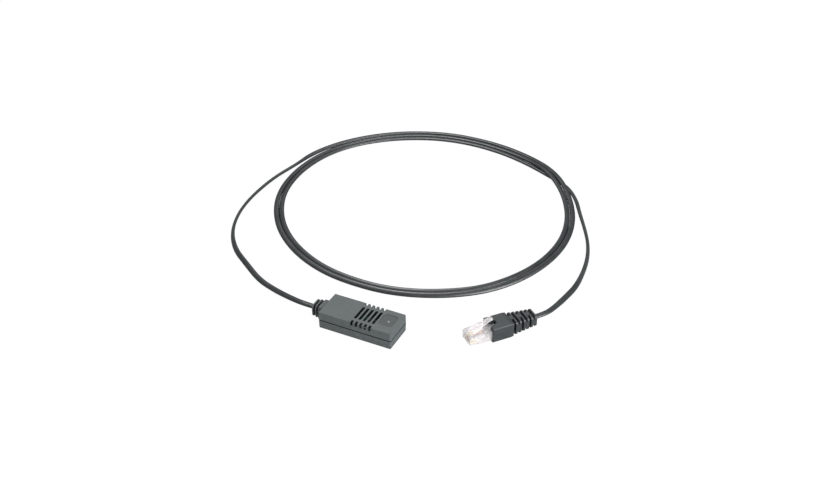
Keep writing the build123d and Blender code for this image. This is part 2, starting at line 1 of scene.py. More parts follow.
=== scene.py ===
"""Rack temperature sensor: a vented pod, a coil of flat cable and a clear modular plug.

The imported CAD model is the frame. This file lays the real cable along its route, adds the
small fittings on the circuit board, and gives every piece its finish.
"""

import json
import logging
import math
from dataclasses import dataclass
from enum import Enum
from typing import Any

import bmesh
import bpy
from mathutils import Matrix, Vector

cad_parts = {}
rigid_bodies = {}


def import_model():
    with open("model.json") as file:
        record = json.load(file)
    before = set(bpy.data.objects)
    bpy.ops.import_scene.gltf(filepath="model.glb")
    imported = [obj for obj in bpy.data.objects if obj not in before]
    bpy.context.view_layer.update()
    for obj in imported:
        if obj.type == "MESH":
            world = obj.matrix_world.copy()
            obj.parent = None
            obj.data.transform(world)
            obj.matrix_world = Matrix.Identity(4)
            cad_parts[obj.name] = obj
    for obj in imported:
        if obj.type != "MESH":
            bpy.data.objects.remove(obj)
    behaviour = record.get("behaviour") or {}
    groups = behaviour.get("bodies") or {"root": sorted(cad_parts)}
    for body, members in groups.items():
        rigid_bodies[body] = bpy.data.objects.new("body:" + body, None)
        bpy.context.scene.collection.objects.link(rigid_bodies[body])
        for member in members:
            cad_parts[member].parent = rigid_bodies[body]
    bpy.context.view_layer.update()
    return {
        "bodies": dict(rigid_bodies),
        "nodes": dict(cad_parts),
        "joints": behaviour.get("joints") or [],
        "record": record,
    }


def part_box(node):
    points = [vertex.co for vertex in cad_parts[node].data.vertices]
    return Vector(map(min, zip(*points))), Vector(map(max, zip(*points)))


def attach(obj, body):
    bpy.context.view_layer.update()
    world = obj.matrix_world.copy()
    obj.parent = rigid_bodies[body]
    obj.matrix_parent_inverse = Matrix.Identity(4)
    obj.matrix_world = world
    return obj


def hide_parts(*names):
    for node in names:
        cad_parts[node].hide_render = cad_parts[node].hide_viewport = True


log = logging.getLogger("rack_temperature_sensor")

MM = 0.001
Place = tuple[float, float]
Range = tuple[float, float]
Point = tuple[float, float, float]
Colour = tuple[float, float, float]

# x, y and z in millimetres and a lean in degrees
RoutePoint = tuple[float, float, float, float]

# an axis, and the middle, half size and soft edge along it in metres
Span = tuple[str, float, float, float]

# where most values of a noise lie, for a crisp and for a gentle change
CRISP: Range = (0.35, 0.65)
GENTLE: Range = (0.3, 0.7)


# Node trees and shader maths


def add_node(tree: bpy.types.NodeTree, kind: str, settings: dict[str, Any],
             sockets: dict[Any, Any]) -> bpy.types.Node:
    """Add a node to a shader or geometry tree.

    Args:
        tree: The tree.
        kind: The node's type.
        settings: Properties set first.
        sockets: Values or links by input name or number.

    Returns:
        The new node.
    """
    node = tree.nodes.new(kind)
    for name, value in settings.items():
        setattr(node, name, value)
    for name, value in sockets.items():
        source = value.socket if isinstance(value, Wire) else value
        if isinstance(source, bpy.types.NodeSocket):
            tree.links.new(source, node.inputs[name])
        else:
            node.inputs[name].default_value = source
    return node


class Wire:
    """A shader value that adds Math nodes when it is used in an expression."""

    def __init__(self, shader: "Shader", socket: Any) -> None:
        """Keep the tree and the socket that holds the value."""
        self.shader = shader
        self.socket = socket

    def _math(self, operation: str, first: Any, second: Any = None) -> "Wire":
        """Add one Math node.

        Args:
            operation: The Math node's operation.
            first: Its first value or link.
            second: Its second value or link, where it has one.

        Returns:
            The node's result.
        """
        values = {0: first} if second is None else {0: first, 1: second}
        return self.shader.add("ShaderNodeMath", {"operation": operation}, values)

    def __add__(self, other: Any) -> "Wire":
        """Sum."""
        return self._math("ADD", self, other)

    __radd__ = __add__

    def __sub__(self, other: Any) -> "Wire":
        """Difference."""
        return self._math("SUBTRACT", self, other)

    def __rsub__(self, other: Any) -> "Wire":
        """Difference with this value last."""
        return self._math("SUBTRACT", other, self)

    def __mul__(self, other: Any) -> "Wire":
        """Product."""
        return self._math("MULTIPLY", self, other)

    __rmul__ = __mul__

    def greatest(self, other: Any) -> "Wire":
        """The larger of two values."""
        return self._math("MAXIMUM", self, other)

    def within(self, middle: float, reach: float, soft: float) -> "Wire":
        """1 within a reach of a middle value, falling to 0 over a soft edge."""
        return self._math("ABSOLUTE", self - middle).ramp(reach, reach + soft, 1.0, 0.0)

    def clamped(self) -> "Wire":
        """This value kept from 0 to 1."""
        return self.shader.add("ShaderNodeClamp", {}, {"Value": self})

    def ramp(self, low: float, high: float, start: float = 0.0, end: float = 1.0) -> "Wire":
        """Map this value from one range to another, clamped.

        Args:
            low: The value that maps to start.
            high: The value that maps to end.
            start: The result at low.
            end: The result at high.

        Returns:
            The mapped value.
        """
        return self.shader.add(
            "ShaderNodeMapRange",
            {"clamp": True},
            {"Value": self, "From Min": low, "From Max": high, "To Min": start, "To Max": end},
        )


class Shader:
    """The node tree of a material or a world, filled through one node-making method."""

    def __init__(self, owner: bpy.types.ID, end: str = "ShaderNodeOutputMaterial") -> None:
        """Empty the owner's tree and give it an output.

        Args:
            owner: The material or world.
            end: The kind of its output node.
        """
        self.owner = owner
        self.owner.use_nodes = True
        self.tree = self.owner.node_tree
        self.tree.nodes.clear()
        self.output = add_node(self.tree, end, {}, {})

    def add(self, kind: str, settings: dict[str, Any], sockets: dict[Any, Any], result: Any = 0) -> Wire:
        """Add a node.

        Args:
            kind: The node's type.
            settings: Properties set first.
            sockets: Values or links by input name or number.
            result: The output's name or number.

        Returns:
            The chosen output.
        """
        return Wire(self, add_node(self.tree, kind, settings, sockets).outputs[result])

    def place(self) -> Wire:
        """The point on the object, in metres."""
        return self.add("ShaderNodeTexCoord", {}, {}, "Object")

    def part(self, vector: Wire, axis: str) -> Wire:
        """One axis of a vector."""
        return self.add("ShaderNodeSeparateXYZ", {}, {"Vector": vector}, axis)

    def zone(self, vector: Wire, spans: tuple[Span, ...]) -> Wire:
        """1 inside a box, 0 outside it.

        Args:
            vector: The point that is tested.
            spans: The box's extent along each axis that matters.

        Returns:
            The mask.
        """
        return math.prod(
            self.part(vector, axis).within(middle, half, soft) for axis, middle, half, soft in spans
        )

    def ray(self, kind: str) -> Wire:
        """1 for rays of one kind, such as "Is Camera Ray"."""
        return self.add("ShaderNodeLightPath", {}, {}, kind)

    def along(self) -> Wire:
        """The piece's own jacket map: turns round it and metres along it."""
        return self.add("ShaderNodeUVMap", {"uv_map": "jacket"}, {})

    def scaled(self, vector: Wire, scale: Point) -> Wire:
        """A vector scaled on each axis."""
        return self.add("ShaderNodeMapping", {}, {"Vector": vector, "Scale": scale})

    def noise(self, vector: Wire, scale: float, detail: float = 2.0, roughness: float = 0.5) -> Wire:
        """Noise from 0 to 1.

        Args:
            vector: Where it is read.
            scale: Features per metre.
            detail: Octaves.
            roughness: Share of the finer octaves.

        Returns:
            The noise value.
        """
        values = {"Vector": vector, "Scale": scale, "Detail": detail, "Roughness": roughness}
        return self.add("ShaderNodeTexNoise", {}, values, 0)

    def tint(self, amount: Any, dark: Any, light: Any) -> Wire:
        """Mix two colours.

        Args:
            amount: 0 for the first, 1 for the second.
            dark: The first colour, or a link.
            light: The second colour, or a link.

        Returns:
            The mixed colour.
        """
        first = dark if isinstance(dark, Wire) else (*dark, 1.0)
        second = light if isinstance(light, Wire) else (*light, 1.0)
        return self.add("ShaderNodeMix", {"data_type": "RGBA"}, {0: amount, 6: first, 7: second}, 2)

    def bump(self, height: Wire, depth: float, under: Wire | None = None) -> Wire:
        """Bump the surface.

        Args:
            height: The pattern, from 0 to 1.
            depth: How deep it is, in metres.
            under: The bump that it lies over, if there is one.

        Returns:
            The bumped normal.
        """
        values: dict[Any, Any] = {"Strength": 1.0, "Distance": depth, "Height": height}
        if under is not None:
            values["Normal"] = under
        return self.add("ShaderNodeBump", {}, values)

    def either(self, amount: Wire, first: Wire, second: Wire) -> Wire:
        """Mix two shaders by an amount."""
        return self.add("ShaderNodeMixShader", {}, {0: amount, 1: first, 2: second})

    def surface(self, sockets: dict[str, Any]) -> Wire:
        """Add the Principled shader."""
        return self.add("ShaderNodeBsdfPrincipled", {}, sockets)

    def finish(self, surface: Wire) -> bpy.types.ID:
        """Join the surface to the output and give back the material or world."""
        self.tree.links.new(surface.socket, self.output.inputs["Surface"])
        return self.owner


# Finishes

# a pattern on the piece itself is in features per metre, and a depth is in metres


class Insulation(Enum):
    """Colours of the four conductors, in the order in which they lie."""

    BLACK = (0.035, 0.033, 0.033)
    RED = (0.62, 0.075, 0.05)
    GREEN = (0.06, 0.34, 0.12)
    YELLOW = (0.86, 0.56, 0.1)


@dataclass(frozen=True)
class SparkedPlastic:
    """Moulded plastic with a spark-eroded texture, as on the pod's shells."""

    name: str = "charcoal_shell_plastic"
    dark: Colour = (0.044, 0.052, 0.053)
    light: Colour = (0.065, 0.075, 0.076)
    # near-black: painted shade in the parting groove and inside the shell, and a darker tone in the recess
    dark_tone_and_painted_shade: Colour = (0.006, 0.007, 0.0075)
    roughness: float = 0.52
    grain: float = 3200.0
    coarser: float = 7.0
    blotches: float = 60.0
    grain_depth: float = 0.00004
    # painted shade along the parting groove, where the upper shell's overhang casts a shadow
    groove: tuple[Span, ...] = (("Z", 0.0063, 0.00036, 0.00006),)
    groove_painted_shade: float = 0.9
    recess: tuple[Span, ...] = (
        ("Z", 0.0122, 0.00012, 0.00004),
        ("X", 0.0187, 0.0051, 0.0002),
        ("Y", 0.0008, 0.0059, 0.0002),
    )
    recess_dark: float = 0.35
    # painted shade on the inside of the shell, seen through the vents
    inside: tuple[Span, ...] = (
        ("Z", 0.0063, 0.0058, 0.0001),
        ("X", 0.0, 0.0258, 0.0001),
        ("Y", 0.0, 0.0108, 0.0002),
    )
    inside_painted_shade: float = 0.85

    def material(self) -> bpy.types.Material:
        """Build the material: fine pits, slight blotches, a darker recess, and painted shade in the parting
        groove and inside the shell.

        Returns:
            The new material.
        """
        sh = Shader(bpy.data.materials.new(self.name))
        place = sh.place()
        fine = sh.noise(place, self.grain, 3.0, 0.6)
        medium = sh.noise(place, self.grain / self.coarser, 2.0)
        broad = sh.noise(place, self.blotches, 3.0)
        mottle = (fine * 0.45 + medium * 0.3 + broad * 0.25).ramp(0.36, 0.64)
        wear = (medium * 0.5 + broad * 0.5).ramp(*GENTLE, self.roughness - 0.06, self.roughness + 0.07)
        # the recess floor is only a darker tone; the inside and the parting groove get painted shade
        recess = sh.zone(place, self.recess) * self.recess_dark
        inside = sh.zone(place, self.inside) * self.inside_painted_shade
        groove = sh.zone(place, self.groove) * self.groove_painted_shade
        plain = sh.tint(mottle, self.dark, self.light)
        recess_tone_and_inside_shade = sh.tint(recess.greatest(inside), plain, self.dark_tone_and_painted_shade)
        pits = fine * 0.7 + medium * 0.3
        return sh.finish(
            sh.surface(
                {
                    "Base Color": sh.tint(groove, recess_tone_and_inside_shade, self.dark_tone_and_painted_shade),
                    "Roughness": wear,
                    "Specular IOR Level": 0.5,
                    "Normal": sh.bump(pits, self.grain_depth),
                }
            )
        )


@dataclass(frozen=True)
class FlexiblePvc:
    """Soft dull moulding of the strain relief and the plug boot."""

    name: str = "soft_boot_pvc"
    dark: Colour = (0.016, 0.0195, 0.021)
    light: Colour = (0.029, 0.034, 0.036)
    roughness: float = 0.45
    grain: float = 2400.0
    grain_depth: float = 0.00004
    dust: float = 140.0
    # near-black colour of the painted shade in the gaps between the ribs
    dark_tone_and_painted_shade: Colour = (0.004, 0.0045, 0.005)
    # spans of the gaps between the ribs, which get painted shade
    gaps: tuple[tuple[Span, ...], ...] = ()

    def material(self) -> bpy.types.Material:
        """Build the material: soft grain, a dusty film in places and painted shade in the gaps between the
        ribs.

        Returns:
            The new material.
        """
        sh = Shader(bpy.data.materials.new(self.name))
        place = sh.place()
        fine = sh.noise(place, self.grain, 3.0, 0.55)
        dust = sh.noise(place, self.dust, 4.0, 0.6)
        shade = sh.tint((fine * 0.5 + dust * 0.5).ramp(*CRISP), self.dark, self.light)
        # painted shade in the gaps between the ribs
        for gap in self.gaps:
            shade = sh.tint(sh.zone(place, gap), shade, self.dark_tone_and_painted_shade)
        return sh.finish(
            sh.surface(
                {
                    "Base Color": shade,
                    "Roughness": dust.ramp(*GENTLE, self.roughness - 0.05, self.roughness + 0.09),
                    "Normal": sh.bump(fine, self.grain_depth),
                }
            )
        )


@dataclass(frozen=True)
class CableJacket:
    """Extruded jacket of the flat cable: satin, with faint lines along it.

    The lines' scale is in features per turn round the jacket, and per metre along it.
    """

    name: str = "cable_jacket"
    dark: Colour = (0.005, 0.008, 0.009)
    light: Colour = (0.011, 0.0155, 0.017)
    roughness: float = 0.36
    sheen: float = 1.0
    line_scale: Point = (26.0, 9.0, 1.0)
    line_depth: float = 0.000006
    handling: float = 90.0
    grain: float = 3500.0
    grain_depth: float = 0.000002

    def material(self) -> bpy.types.Material:
        """Build the material on the jacket's own map, so the lines follow the cable.

        Returns:
            The new material.
        """
        sh = Shader(bpy.data.materials.new(self.name))
        lines = sh.noise(sh.scaled(sh.along(), self.line_scale), 1.0, 2.0)
        handling = sh.noise(sh.place(), self.handling, 3.0)
        fine = sh.noise(sh.place(), self.grain, 2.0)
        mottle = (lines * 0.4 + handling * 0.45 + fine * 0.15).ramp(*CRISP)
        wear = (handling * 0.7 + lines * 0.3).ramp(*GENTLE, self.roughness - 0.06, self.roughness + 0.1)
        relief = sh.bump(lines, self.line_depth)
        return sh.finish(
            sh.surface(
                {
                    "Base Color": sh.tint(mottle, self.dark, self.light),
                    "Roughness": wear,
                    "Specular IOR Level": self.sheen,
                    "Normal": sh.bump(fine, self.grain_depth, relief),
                }
            )
        )


@dataclass(frozen=True)
class ClearResin:
    """Clear moulded plastic with faint flow marks."""

    name: str
    colour: Colour
    roughness: float
    ior: float
    clearness: float
    flow_depth: float = 0.00006
    flow: float = 420.0
    flow_shade: float = 0.96
    haze: float = 1600.0
    haze_spread: Range = (0.85, 1.2)

    def material(self) -> bpy.types.Material:
        """Build the material: clear, with soft waves and a slight haze in its surface.

        Returns:
            The new material.
        """
        sh = Shader(bpy.data.materials.new(self.name))
        place = sh.place()
        waves = sh.noise(place, self.flow, 2.0)
        haze = sh.noise(place, self.haze, 2.0)
        low, high = (self.roughness * share for share in self.haze_spread)
        shade = tuple(value * self.flow_shade for value in self.colour)
        return sh.finish(
            sh.surface(
                {
                    "Base Color": sh.tint(waves.ramp(*CRISP), shade, self.colour),
                    "Roughness": haze.ramp(*CRISP, low, high),
                    "IOR": self.ior,
                    "Transmission Weight": self.clearness,
                    "Normal": sh.bump(waves, self.flow_depth),
                }
            )
        )


@dataclass(frozen=True)
class PlatedMetal:
    """Stamped or turned metal with a thin plating."""

    name: str
    dark: Colour
    light: Colour
    roughness: float
    grain: float = 2600.0
    grain_stretch: Point = (1.0, 1.0, 0.15)
    grain_depth: float = 0.00001
    spots: float = 900.0

    def material(self) -> bpy.types.Material:
        """Build the material: drawn lines and small dull spots.

        Returns:
            The new material.
        """
        sh = Shader(bpy.data.materials.new(self.name))
        place = sh.place()
        drawn = sh.noise(sh.scaled(place, self.grain_stretch), self.grain, 2.0)
        spots = sh.noise(place, self.spots, 3.0)
        mottle = (drawn * 0.5 + spots * 0.5).ramp(*CRISP)
        return sh.finish(
            sh.surface(
                {
                    "Base Color": sh.tint(mottle, self.dark, self.light),
                    "Metallic": 1.0,
                    "Roughness": spots.ramp(*CRISP, self.roughness - 0.06, self.roughness + 0.12),
                    "Normal": sh.bump(drawn, self.grain_depth),
                }
            )
        )


@dataclass(frozen=True)
class SolderMask:
    """Green lacquer over a glass laminate, with the copper's pattern showing faintly."""

    name: str = "board_solder_mask"
    dark: Colour = (0.006, 0.04, 0.016)
    light: Colour = (0.014, 0.08, 0.032)
    copper: float = 260.0
    copper_edge: Range = (0.48, 0.52)
    copper_depth: float = 0.00003
    weave: float = 1400.0
    weave_stretch: Point = (1.0, 3.0, 1.0)
    gloss: Range = (0.22, 0.34)

    def material(self) -> bpy.types.Material:
        """Build the material: a weave and broad copper areas under gloss lacquer.

        Returns:
            The new material.
        """
        sh = Shader(bpy.data.materials.new(self.name))
        place = sh.place()
        copper = sh.noise(place, self.copper, 1.0).ramp(*self.copper_edge)
        weave = sh.noise(sh.scaled(place, self.weave_stretch), self.weave, 1.0)
        pattern = (copper * 0.7 + weave * 0.3).clamped()
        return sh.finish(
            sh.surface(
                {
                    "Base Color": sh.tint(pattern, self.dark, self.light),
                    "Roughness": weave.ramp(*GENTLE, *self.gloss),
                    "Normal": sh.bump(copper, self.copper_depth),
                }
            )
        )


@dataclass(frozen=True)
class PlainMoulding:
    """Small mouldings and insulation: one colour with slight mottle and grain."""

    name: str
    colour: Colour
    roughness: float
    spread: float = 0.12
    mottle: float = 700.0
    grain: float = 4000.0
    grain_depth: float = 0.00001

    def material(self) -> bpy.types.Material:
        """Build the material: one colour, mottled and finely grained.

        Returns:
            The new material.
        """
        sh = Shader(bpy.data.materials.new(self.name))
        place = sh.place()
        mottle = sh.noise(place, self.mottle, 3.0)
        fine = sh.noise(place, self.grain, 1.0)
        dark = tuple(value * (1 - self.spread) for value in self.colour)
        light = tuple(min(1.0, value * (1 + self.spread)) for value in self.colour)
        return sh.finish(
            sh.surface(
                {
                    "Base Color": sh.tint(mottle.ramp(*CRISP), dark, light),
                    "Roughness": mottle.ramp(*GENTLE, self.roughness - 0.05, self.roughness + 0.08),
                    "Normal": sh.bump(fine, self.grain_depth),
                }
            )
        )


@dataclass(frozen=True)
class StudioPaper:
    """White paper floor that looks white to the camera and keeps a soft shadow."""

    name: str = "studio_paper"
    dark: Colour = (0.86, 0.86, 0.86)
    light: Colour = (0.9, 0.9, 0.9)
    roughness: float = 0.9
    fibre: float = 500.0
    white: float = 1.0
    mirrored: float = 0.32
    kept_white: float = 0.95

    def material(self) -> bpy.types.Material:
        """Build the material: paper for the light, plain white for what looks at it.

        Returns:
            The new material.
        """
        sh = Shader(bpy.data.materials.new(self.name))
        glossy = sh.ray("Is Glossy Ray")
        seen = sh.ray("Is Camera Ray").greatest(glossy).greatest(sh.ray("Is Transmission Ray"))
        fibre = sh.noise(sh.place(), self.fibre, 2.0).ramp(*GENTLE)
        paper = sh.surface(
            {"Base Color": sh.tint(fibre, self.dark, self.light), "Roughness": self.roughness}
        )
        plain, dim = (
            sh.add("ShaderNodeEmission", {}, {"Color": (tone, tone, tone, 1.0), "Strength": 1.0})
            for tone in (self.white, self.mirrored)
        )
        return sh.finish(sh.either(seen * self.kept_white, paper, sh.either(glossy, plain, dim)))


# Making and dressing pieces


def mesh_piece(name: str, shape: bmesh.types.BMesh, material: bpy.types.Material) -> bpy.types.Object:
    """Turn a bmesh into a smooth object at the origin.

    Args:
        name: The piece's name.
        shape: Its mesh in metres, freed here.
        material: Its finish.

    Returns:
        The new object.
    """
    mesh = bpy.data.meshes.new(name)
    shape.to_mesh(mesh)
    shape.free()
    for face in mesh.polygons:
        face.use_smooth = True
    mesh.materials.append(material)
    piece = bpy.data.objects.new(name, mesh)
    bpy.context.scene.collection.objects.link(piece)
    return piece


def dress(frame: dict[str, Any], node: str, material: bpy.types.Material) -> None:
    """Give a CAD node its finish.

    Args:
        node: The node's name.
        material: Its finish.
    """
    piece = frame["nodes"][node]
    if not piece.material_slots:
        piece.data.materials.append(material)
    for place in piece.material_slots:
        place.material = material
    log.info("dressed %s with %s", node, material.name)


class GeometryTree:
    """A Geometry Nodes tree with named inputs, baked to a plain mesh."""

    def __init__(self, name: str) -> None:
        """Make an empty tree with a geometry input and output.

        Args:
            name: The tree's name.
        """
        self.tree = bpy.data.node_groups.new(name, "GeometryNodeTree")
        self.tree.interface.new_socket("Geometry", in_out="INPUT", socket_type="NodeSocketGeometry")
        self.tree.interface.new_socket("Geometry", in_out="OUTPUT", socket_type="NodeSocketGeometry")
        self.start = add_node(self.tree, "NodeGroupInput", {}, {})
        self.end = add_node(self.tree, "NodeGroupOutput", {}, {})
        self.values: dict[str, Any] = {}

    def size(self, name: str, value: Any, kind: str = "NodeSocketFloat") -> Any:
        """Add a named input and keep the value that the modifier gets.

        Args:
            name: The input's name.
            value: Its value.
            kind: Its socket type.

        Returns:
            The group input's output socket.
        """
        item = self.tree.interface.new_socket(name, in_out="INPUT", socket_type=kind)
        self.values[item.identifier] = value
        return self.start.outputs[name]

    def add(self, kind: str, settings: dict[str, Any], sockets: dict[Any, Any], result: Any = 0) -> Any:
        """Add a node.

        Args:
            kind: The node's type.
            settings: Properties set first.
            sockets: Values or links by input name or number.
            result: The output's name or number.

        Returns:
            The chosen output socket.
        """
        return add_node(self.tree, kind, settings, sockets).outputs[result]

    def bake(self, host: bpy.types.Object, geometry: Any, material: bpy.types.Material) -> bpy.types.Object:
        """End the tree, run it on a host and keep the plain mesh.

        Args:
            host: The object that carries the modifier, used up here.
            geometry: The last geometry socket, before instances are made real.
            material: The finish.

        Returns:
            The baked piece.
        """
        real = self.add("GeometryNodeRealizeInstances", {}, {0: geometry})
        flat = self.add("GeometryNodeSetShadeSmooth", {}, {0: real, "Shade Smooth": False})
        done = self.add("GeometryNodeSetMaterial", {}, {"Geometry": flat, "Material": material})
        self.tree.links.new(done, self.end.inputs[0])
        modifier = host.modifiers.new(self.tree.name, "NODES")
        modifier.node_group = self.tree
        for identifier, value in self.values.items():
            modifier[identifier] = value
        graph = bpy.context.evaluated_depsgraph_get()
        mesh = bpy.data.meshes.new_from_object(host.evaluated_get(graph), depsgraph=graph)
        host.modifiers.remove(modifier)
        host.data = mesh
        if not mesh.materials:
            mesh.materials.append(material)
        return host


def point_host(name: str, points: list[Point]) -> bpy.types.Object:
    """Make an object of loose points for a tree to stand things on.

    Args:
        name: The object's name.
        points: Its points in metres.

    Returns:
        The new object.
    """
    mesh = bpy.data.meshes.new(name)
    mesh.from_pydata(points, [], [])
    host = bpy.data.objects.new(name, mesh)
    bpy.context.scene.collection.objects.link(host)
    return host


# The cable


def eased(value: float) -> float:
    """A value kept from 0 to 1, with a smooth start and end."""
    share = max(0.0, min(1.0, value))
    return share * share * (3.0 - 2.0 * share)


@dataclass(frozen=True)
class FlatCable:
    """The flat four-core cable: two tails and a hand-wound coil, in one smooth line.

    Lengths are in millimetres and angles in degrees. A place on the coil is an angle round its
    centre, anticlockwise from +X. A loose stretch has its middle, its reach and how much further
    apart its strands lie. The pair radii are those of the middle of the two full turns, at even
    steps round the coil. The outermost strand starts so many pitches outside that middle.
    """

    width: float = 4.0
    thickness: float = 2.3
    fullness: float = 0.86
    section_steps: int = 24
    floor_gap: float = 0.08
    strand_pitch: float = 3.95
    coil_centre: Place = (-27.8, 150.5)
    pair_radii: tuple[float, ...] = (
        111.4, 110.5, 110.3, 111.3, 112.6, 110.7, 109.8, 110.7, 110.7, 111.8, 112.8, 112.4,
        111.3, 110.6, 109.0, 108.1, 107.4, 107.9, 107.9, 109.7, 110.4, 113.0, 112.7, 112.0,
    )
    loose_stretches: tuple[Point, ...] = ((103.0, 58.0, 0.75), (313.0, 28.0, 0.6))
    coil_step: float = 12.0
    coil_start: float = 164.0
    coil_end: float = 62.0
    coil_turns: int = 2
    outermost: float = 1.5
    coil_lean: float = -14.0
    coil_level_at: float = 120.0
    ripple: float = 5.0
    ripple_rate: float = 2.5
    ripple_shift: float = 110.0
    entry_spread: float = 1.9
    entry_from: float = 140.0
    entry_to: float = 165.0
    entry_ease: float = 24.0
    crossing_first: float = 45.5
    crossing_second: float = 51.5
    crossing_last_sweep: float = 620.0
    crossing_half: float = 5.0
    crossing_ease: float = 12.0
    line_steps: int = 10
    plug_foot: Place = (67.6, 16.2)
    plug_heading: float = 51.0
    plug_boot_end: float = 48.9
    plug_cord_height: float = 5.2
    plug_first_run: float = 9.2
    sensor_exit: Point = (-35.3, 0.0, 6.0)
    sensor_tail: tuple[RoutePoint, ...] = (
        (-45.0, 0.0, 6.0, -6.0),
        (-56.5, 3.0, 4.6, -12.0),
        (-71.5, 8.2, 2.5, -17.0),
        (-89.0, 14.8, 1.6, -20.0),
        (-107.0, 27.0, 1.7, -28.0),
        (-124.0, 38.5, 1.8, -44.0),
        (-138.0, 55.5, 1.9, -60.0),
        (-147.0, 76.0, 2.0, -68.0),
        (-151.5, 98.0, 2.0, -50.0),
        (-152.3, 121.0, 1.9, -38.0),
        (-150.8, 141.0, 1.9, -34.0),
        (-146.2, 161.5, 2.0, -30.0),
    )
    plug_tail: tuple[RoutePoint, ...] = (
        (43.8, 234.6, 1.2, -4.0),
        (60.0, 226.0, 1.4, -20.0),
        (72.5, 211.5, 1.8, -38.0),
        (82.3, 192.7, 1.9, -48.0),
        (92.0, 175.5, 1.9, -58.0),
        (100.8, 158.0, 2.0, -66.0),
        (107.0, 139.5, 2.0, -66.0),
        (110.0, 121.0, 2.0, -66.0),
        (111.0, 103.0, 1.9, -48.0),
        (108.8, 86.3, 2.6, -18.0),
        (106.9, 71.2, 4.4, 0.0),
    )

    def pair_radius(self, angle: float) -> float:
        """Radius of the middle of the coil's two full turns.

        Args:
            angle: The place on the coil.

        Returns:
            The radius in millimetres.
        """
        step = 360.0 / len(self.pair_radii)
        place = (angle % 360.0) / step
        index = int(place)
        share = place - index
        before = self.pair_radii[index]
        after = self.pair_radii[(index + 1) % len(self.pair_radii)]
        return before + (after - before) * share

    def pitch(self, angle: float) -> float:
        """Distance between neighbouring strands.

        Args:
            angle: The place on the coil.

        Returns:
            The distance in millimetres.
        """
        result = self.strand_pitch
        for middle, reach, more in self.loose_stretches:
            result += more * eased(2.0 - 2.0 * abs(angle % 360.0 - middle) / reach)
        return result

    def resting(self, lean: float) -> float:
        """Height of the cable's middle when it rests on the floor.

        Args:
            lean: How far it leans, in degrees.

        Returns:
            The height in millimetres.
        """
        across = self.width / 2 * math.sin(math.radians(lean))
        upward = self.thickness / 2 * math.cos(math.radians(lean))
        return math.hypot(across, upward) + self.floor_gap

    def lift(self, angle: float, middle: float) -> float:
        """How far a turn rises over the strand that dives under it, from 0 to 1."""
        reach = abs(angle - middle) - self.crossing_half
        return eased(1.0 - reach / self.crossing_ease)

    def coil_points(self) -> list[RoutePoint]:
        """Points of the turns, wound clockwise seen from above, each with its lean.

        Returns:
            Rows of x, y, z in millimetres and the lean in degrees.
        """
        total = 360.0 * self.coil_turns + self.coil_start - self.coil_end
        count = round(total / self.coil_step)
        shared = self.coil_start - self.coil_end
        points = []
        for index in range(count + 1):
            swept = total * index / count
            angle = self.coil_start - swept
            place = angle % 360.0
            turn = int(swept // 360.0)
            inward = min(1.0, (swept - 360.0 * turn) / shared)
            # the strands lie side by side, and each turn moves inwards by one strand
            offset = self.pitch(angle) * (self.outermost - turn - inward)
            if turn == 0 and self.entry_from < place < self.entry_to:
                offset += self.entry_spread * (place - self.entry_from) / self.entry_ease
            radius = (self.pair_radius(angle) + offset) / math.cos(math.radians(self.coil_step / 2))
            lean = self.coil_lean * (1.0 - math.cos(math.radians(angle - self.coil_level_at)))
            ripple = self.ripple_rate * angle + self.ripple_shift * turn
            lean += self.ripple * math.sin(math.radians(ripple))
            height = self.resting(lean)
            if place < 180.0 and swept < self.crossing_last_sweep:
                middle = self.crossing_first if turn == 0 else self.crossing_second
                height += self.thickness * self.lift(place, middle)
            x = self.coil_centre[0] + radius * math.cos(math.radians(angle))
            y = self.coil_centre[1] + radius * math.sin(math.radians(angle))
            points.append((x, y, height, lean))
        return points

    def route(self) -> list[RoutePoint]:
        """The whole route from the pod's strain relief to the plug's boot.

        Returns:
            Rows of x, y, z in millimetres and the lean in degrees.
        """
        cosine = math.cos(math.radians(self.plug_heading))
        sine = math.sin(math.radians(self.plug_heading))
        ends = [
            (self.plug_foot[0] + cosine * far, self.plug_foot[1] + sine * far, self.plug_cord_height, 0.0)
            for far in (self.plug_boot_end + self.plug_first_run, self.plug_boot_end)
        ]
        start = (*self.sensor_exit, 0.0)
        return [start, *self.sensor_tail, *self.coil_points(), *self.plug_tail, *ends]

    def centre_line(self, route: list[RoutePoint]) -> list[Vector]:
        """Read the smooth line of a NURBS spline through the route.

        Args:
            route: The control points in millimetres, with leans.

        Returns:
            Points of the line in metres.
        """
        curve = bpy.data.curves.new("cable_route", "CURVE")
        curve.dimensions = "3D"
        curve.resolution_u = self.line_steps
        spline = curve.splines.new("NURBS")
        spline.points.add(len(route) - 1)
        for point, (x, y, z, _) in zip(spline.points, route):
            point.co = (x * MM, y * MM, z * MM, 1.0)
        spline.order_u = 3
        spline.use_endpoint_u = True
        holder = bpy.data.objects.new("cable_route", curve)
        bpy.context.scene.collection.objects.link(holder)
        graph = bpy.context.evaluated_depsgraph_get()
        mesh = bpy.data.meshes.new_from_object(holder.evaluated_get(graph), depsgraph=graph)
        line = [Vector(vertex.co) for vertex in mesh.vertices]
        bpy.data.objects.remove(holder)
        bpy.data.curves.remove(curve)
        bpy.data.meshes.remove(mesh)
        return line

    def leans(self, route: list[RoutePoint], count: int) -> list[float]:
        """The lean at each point of the line, eased between the route's points.

        Args:
            route: The control points with their leans.
            count: How many points the line has.

        Returns:
            Leans in radians.
        """
        last = len(route) - 2
        knots = [0.0, *[index - 0.5 for index in range(1, len(route) - 1)], float(last)]
        result = []
        index = 0
        for step in range(count):
            place = last * step / (count - 1)
            while index < len(knots) - 2 and knots[index + 1] < place:
                index += 1
            share = eased((place - knots[index]) / (knots[index + 1] - knots[index]))
            lean = route[index][3] + (route[index + 1][3] - route[index][3]) * share
            result.append(math.radians(lean))
        return result

